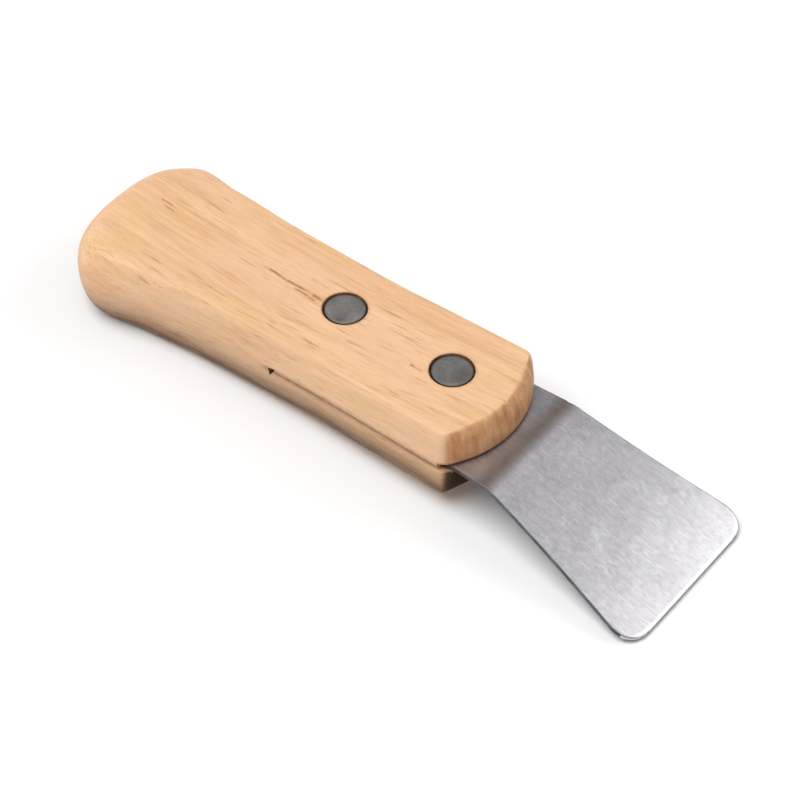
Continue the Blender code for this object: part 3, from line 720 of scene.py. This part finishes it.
    # how much of each point is end grain
    mesh = obj.data
    end = mesh.attributes.new("end_grain", "FLOAT", "POINT")
    values = np.zeros(len(mesh.vertices), np.float32)
    for v in mesh.vertices:
        x = v.co.x
        if x > 8.5:
            values[v.index] = step(0.35, 0.85, v.normal.x) * step(8.5, 11.0, x)
        elif x < -82:
            values[v.index] = 0.55 * step(0.55, 0.97, -v.normal.x)
    end.data.foreach_set("value", values)
    # painted shade on the lower arris: darker towards the bottom, less on the flat underside
    low_edge = mesh.attributes.new("low_edge", "FLOAT", "POINT")
    values = np.zeros(len(mesh.vertices), np.float32)
    for v in mesh.vertices:
        z = v.co.z
        low_shade = float(np.interp(z, (0.0, 1.0, 2.0, 3.3, 4.7, 6.0, 7.3, 10.0, 12.0), (0.95, 0.95, 0.92, 0.78, 0.57, 0.42, 0.26, 0.06, 0.0)))
        values[v.index] = low_shade * (1 - 0.85 * step(0.85, 0.995, -v.normal.z))
    low_edge.data.foreach_set("value", values)
    return obj


handle = build_handle()


# ------------------------------------------------------------------ blade
def plate_line(s):
    reach = BEND_RADIUS * math.tan(BEND_ANGLE / 2)
    arc = BEND_RADIUS * BEND_ANGLE
    z = PLATE_TOP - PLATE / 2
    if s <= -arc / 2:
        return BEND_X + s + arc / 2 - reach, z, 0.0
    if s >= arc / 2:
        far = s - arc / 2 + reach
        return BEND_X + far * math.cos(BEND_ANGLE), z - far * math.sin(BEND_ANGLE), BEND_ANGLE
    w = (s + arc / 2) / BEND_RADIUS
    return BEND_X - reach + BEND_RADIUS * math.sin(w), z - BEND_RADIUS * (1 - math.cos(w)), w


def build_blade():
    arc = BEND_RADIUS * BEND_ANGLE

    def tang_half(x):
        t = max(0.0, min(1.0, (x - TANG_END) / (MOUTH_X - TANG_END)))
        half = TANG_REAR + (TANG_FRONT - TANG_REAR) * t
        return half + (max(0.0, x - MOUTH_X) * (BEND_HALF - TANG_FRONT) / (BEND_X - MOUTH_X))

    def flare(s):
        t = s / BLADE_LONG
        return BEND_HALF + (EDGE_HALF - BEND_HALF) * t - SAG * 2 * t * (1 - t)

    stations = []
    tang_s = TANG_END - BEND_X
    for k in range(13):
        w = math.pi / 2 * k / 12
        s = tang_s + 3.0 * (1 - math.cos(w))
        stations.append((s, tang_half(BEND_X + s) - 3.0 * (1 - math.sin(w))))
    for k in range(1, 31):
        s = stations[12][0] + (-arc / 2 - stations[12][0]) * k / 30
        stations.append((s, tang_half(BEND_X + s)))
    for k in range(1, 17):
        s = -arc / 2 + arc * k / 16
        stations.append((s, BEND_HALF + s * (EDGE_HALF - BEND_HALF) / BLADE_LONG))
    straight = BLADE_LONG - TIP_CORNER
    for k in range(1, 47):
        s = arc / 2 + (straight - arc / 2) * k / 46
        stations.append((s, flare(s)))
    for k in range(1, 41):
        w = math.pi / 2 * k / 40
        s = straight + (TIP_CORNER - 0.13) * math.sin(w)
        stations.append((s, flare(s) - TIP_CORNER * 0.98 * (1 - math.cos(w))))
    # the plate's edge in its own plane, for the ground bevel to follow
    rim = np.array([(s, h) for s, h in stations if s > 0] + [(BLADE_LONG, y) for y in np.linspace(stations[-1][1], 0, 40)])

    def to_rim(s, y):
        return float(np.sqrt(((rim - (s, abs(y))) ** 2).sum(1)).min())

    def ground(s, y):
        """How far the ground bevel takes the top face down: a broad shallow land, then a short steep one."""
        if s < 6:
            return 0.0
        fade = step(34, 40, s)
        d = min(to_rim(s, y), BLADE_LONG - s)
        shallow = 0.08 * max(0.0, 0.80 - d)
        steep = 0.90 * max(0.0, 0.26 - d)
        return fade * (shallow + steep)

    e, c = 0.2, 0.42  # the top arris is rounded, the lower one chamfered
    aside = [0.0, 0.10, 0.2, 0.3, 0.4, 0.52, 0.66, 0.82, 1.0, 1.35, 1.9, 2.8]
    inner = 26
    bm = bmesh.new()
    rows = []
    for s, half in stations:
        x, z, w = plate_line(s)
        up = Vector((math.sin(w), 0, math.cos(w)))
        half -= SKIN + 0.012
        over, under = PLATE / 2 - SKIN, -PLATE / 2 + SKIN
        tip = step(BLADE_LONG - 0.45, BLADE_LONG, s)
        lift = 0.20 * tip
        reach = half - e
        left = [reach - a for a in aside]
        middle = [left[-1] * (1 - 2 * k / inner) for k in range(1, inner)]
        across = left + middle + [-v for v in reversed(left)]
        section = [(y, over, True) for y in across]
        for k in range(1, 4):
            a = math.pi / 2 * k / 4
            section.append((-reach - e * math.sin(a), over - e * (1 - math.cos(a)), False))
        section.append((-half, over - e, False))
        section.append((-half, under + c, False))
        for k in range(1, 4):
            section.append((-half + c * k / 4, under + c * (1 - k / 4), False))
        for y in reversed(across):
            section.append((y * (half - c) / reach, under, True))
        for k in range(1, 4):
            section.append((half - c * (1 - k / 4), under + c * k / 4, False))
        section.append((half, under + c, False))
        section.append((half, over - e, False))
        for k in range(1, 4):
            a = math.pi / 2 * k / 4
            section.append((reach + e * math.cos(a), over - e * (1 - math.sin(a)), False))
        row = []
        for y, n, face in section:
            if n > 0:
                n = max(n - ground(s, y), under + 0.35)
            else:
                n += lift
            if face and s > 1.0:  # rolled plate is never quite flat
                wave = 0.008 * noise.noise(Vector((s * 0.16, y * 0.2, 4.4))) - 0.008
                n += wave if n > 0 else -wave
            row.append(bm.verts.new(Vector((x, y + PLATE_ASIDE, z)) + up * n))
        rows.append(row)
    count = len(rows[0])
    wide = 2 * len(aside) + inner - 1
    plain = set(range(wide)) | set(range(wide + 8, 2 * wide + 8))
    for i, (a, b) in enumerate(zip(rows, rows[1:])):
        for k in range(count):
            f = bm.faces.new((a[k - 1], a[k], b[k], b[k - 1]))
            tip = stations[i][0] > straight + 2.5
            f.material_index = 0 if tip or (k in plain and (k - 1) % count in plain) else 1
    bm.faces.new(rows[0][::-1]).material_index = 1
    bm.faces.new(rows[-1])
    obj = make("blade_plate_ground", bm, [STEEL, STEEL_EDGE], 40)
    cutters = []
    for place, (cx, cy) in RIVETS.items():
        cutters.append(lathed(f"tang_hole_{place}", cx, cy, [(0, 2), (3.03, 2), (3.03, THICK - 3), (0, THICK - 3)], [STEEL, STEEL_EDGE], index=1))
    carve(obj, cutters, 40)
    return obj


blade = build_blade()


# ------------------------------------------------------------------ rivets
def rivet(place, half):
    cx, cy = RIVETS[place]
    top = THICK - SUNK
    steps = []
    if half == "pin":
        inner = [(0, 4.0 + SKIN), (1.3, 4.0 + SKIN), (1.6 - SKIN, 4.3), (1.6 - SKIN, top - 1.5 + SKIN)]
        rim = [(HEAD_R - 0.12, top - 1.5 + SKIN), (HEAD_R - SKIN, top - 1.38)]
        crown = [(HEAD_R - SKIN, top - 0.34), (HEAD_R - 0.05, top - 0.19), (HEAD_R - 0.14, top - 0.09), (HEAD_R - 0.3, top - 0.04), (HEAD_R - 0.7, top - 0.02)]
        flat = [(r, top - SKIN - 0.012 * (r / HEAD_R) ** 2) for r in (3.2, 2.4, 1.6, 0.8)]
        profile = inner + rim + crown + flat + [(0, top - SKIN)]
    else:
        base = SUNK
        flat = [(0, base + SKIN)] + [(r, base + SKIN + 0.012 * (r / HEAD_R) ** 2) for r in (0.8, 1.6, 2.4, 3.2)]
        crown = [(HEAD_R - 0.7, base + 0.02), (HEAD_R - 0.3, base + 0.04), (HEAD_R - 0.14, base + 0.09), (HEAD_R - 0.05, base + 0.19), (HEAD_R - SKIN, base + 0.34)]
        rim = [(HEAD_R - SKIN, base + 1.38), (HEAD_R - 0.12, base + 1.5 - SKIN)]
        end = THICK - SUNK - 1.5 - 0.9
        tube = [(2.75 - SKIN, base + 1.5 - SKIN), (2.75 - SKIN, end - 0.15), (2.6, end - SKIN), (2.0, end - SKIN), (1.88 + SKIN, end - 0.12), (1.88 + SKIN, 3.4 - SKIN), (0, 3.4 - SKIN)]
        profile = flat + crown + rim + tube
    obj = lathed(f"rivet_{half}_{place}_turned", cx, cy, profile, [RIVET, SHANK])
    for face in obj.data.polygons:
        r = math.hypot(face.center.x - cx, face.center.y - cy)
        if r < 2.9 and SUNK + 1.0 < face.center.z < THICK - SUNK - 1.0:
            face.material_index = 1
    return obj


rivets = {f"rivet_{half}_{place}": rivet(place, half) for place in RIVETS for half in ("pin", "tube")}

# ------------------------------------------------------------------ placed on the frame
# meshes so far are in millimetres, in the handle's own frame
everything = {"handle": handle, "blade_plate": blade, **rivets}
scale = Matrix.Scale(MM, 4)
for obj in everything.values():
    obj.data.transform(scale)
low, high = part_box("handle")
mine = [turn @ v.co for v in handle.data.vertices]
mid = Vector([(min(p[k] for p in mine) + max(p[k] for p in mine)) / 2 for k in range(3)])
place = Matrix.Translation((low + high) / 2 - mid) @ turn
for node, obj in everything.items():
    obj.data.transform(place)
    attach(obj, "root")
    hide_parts(node)
own = place.inverted()
for back in OWN_AXES:
    back.inputs["Location"].default_value = own.translation
    back.inputs["Rotation"].default_value = own.to_euler("XYZ")

# ------------------------------------------------------------------ floor, light, camera
centre = (cad_low + cad_high) / 2


def floor_material():
    n = Nodes("floor_pale")
    tone = n.noise(n.mapped((0.01, 0.01, 0.01)), 1.0, 2.0)
    return n.set(colour=n.ramp(tone, [(0.3, (0.86, 0.86, 0.86)), (0.7, (0.88, 0.88, 0.88))]), rough=n.math("ADD", n.math("MULTIPLY", tone, 0.1), 0.8), specular=0.2)


bm = bmesh.new()
size = 3.0
bmesh.ops.create_grid(bm, x_segments=2, y_segments=2, size=size)
floor = make("floor", bm, [floor_material()])
floor.location = (centre.x, centre.y, -0.0002)

world = bpy.data.worlds.new("studio")
bpy.context.scene.world = world
world.use_nodes = True
sky = world.node_tree
up = sky.nodes.new("ShaderNodeSeparateXYZ")
sky.links.new(sky.nodes.new("ShaderNodeTexCoord").outputs["Generated"], up.inputs[0])
horizon = sky.nodes.new("ShaderNodeValToRGB")
horizon.color_ramp.elements[0].position, horizon.color_ramp.elements[0].color = 0.10, (0.80, 0.80, 0.80, 1)
horizon.color_ramp.elements[1].position, horizon.color_ramp.elements[1].color = 0.34, (0.27, 0.27, 0.275, 1)
sky.links.new(up.outputs["Z"], horizon.inputs[0])
sky.links.new(horizon.outputs[0], sky.nodes["Background"].inputs["Color"])
sky.nodes["Background"].inputs["Strength"].default_value = 1.0


def softbox(name, direction, distance, wide, tall, power, colour=(1, 1, 1)):
    light = bpy.data.lights.new(name, "AREA")
    light.shape = "RECTANGLE"
    light.size, light.size_y = wide, tall
    light.energy = power
    light.color = colour
    obj = bpy.data.objects.new(name, light)
    bpy.context.scene.collection.objects.link(obj)
    d = Vector(direction).normalized()
    obj.location = centre + d * distance
    obj.rotation_mode = "QUATERNION"
    obj.rotation_quaternion = d.to_track_quat("Z", "Y")
    return obj


key = bpy.data.lights.new("key", "SUN")
key.energy = 2.68
key.angle = math.radians(45.6)
key_obj = bpy.data.objects.new("key", key)
bpy.context.scene.collection.objects.link(key_obj)
key_obj.location = (0, 0, 2)
key_obj.rotation_mode = "QUATERNION"
key_obj.rotation_quaternion = Vector((-0.22, -0.31, 0.92)).to_track_quat("Z", "Y")


def panel(name, x0, x1, y0, y1, z, radiance):
    """A level panel over the object, given by its sides, that shines down evenly."""
    wide, deep = x1 - x0, y1 - y0
    obj = softbox(name, (0, 0, 1), 1.0, wide, deep, radiance * math.pi * wide * deep)
    obj.location = (centre.x + (x0 + x1) / 2, centre.y + (y0 + y1) / 2, z)
    return obj


# four panels, each starting further along, so that their sum brightens by steps towards the blade's edge
for k, start in enumerate((-0.30, -0.19, -0.08, 0.03)):
    panel(f"back_panel_{k + 1}", start, 0.75, 0.15, 0.60, 0.70 + 0.004 * k, 0.10)
panel("edge_panel", 0.262, 0.85, 0.34, 0.78, 0.72, 1.6)
panel("corner_panel", 0.260, 0.85, 0.552, 0.80, 0.724, 2.1)

camera = bpy.data.cameras.new("camera")
camera.lens = 135.0
camera.sensor_width = 36.0
camera.clip_start, camera.clip_end = 0.01, 20
cam = bpy.data.objects.new("camera", camera)
bpy.context.scene.collection.objects.link(cam)
azimuth, elevation, roll, distance = math.radians(34.58), math.radians(47.589), math.radians(3.618), 0.62636
back = Vector((math.sin(azimuth) * math.cos(elevation), -math.cos(azimuth) * math.cos(elevation), math.sin(elevation)))
aim = Vector((centre.x + 0.005785, centre.y - 0.004199, 0.010))
cam.location = aim + back * distance
cam.rotation_mode = "QUATERNION"
cam.rotation_quaternion = (-back).to_track_quat("-Z", "Y") @ Matrix.Rotation(roll, 3, "Z").to_quaternion()
bpy.context.scene.camera = cam
bpy.context.scene.view_settings.view_transform = "Standard"
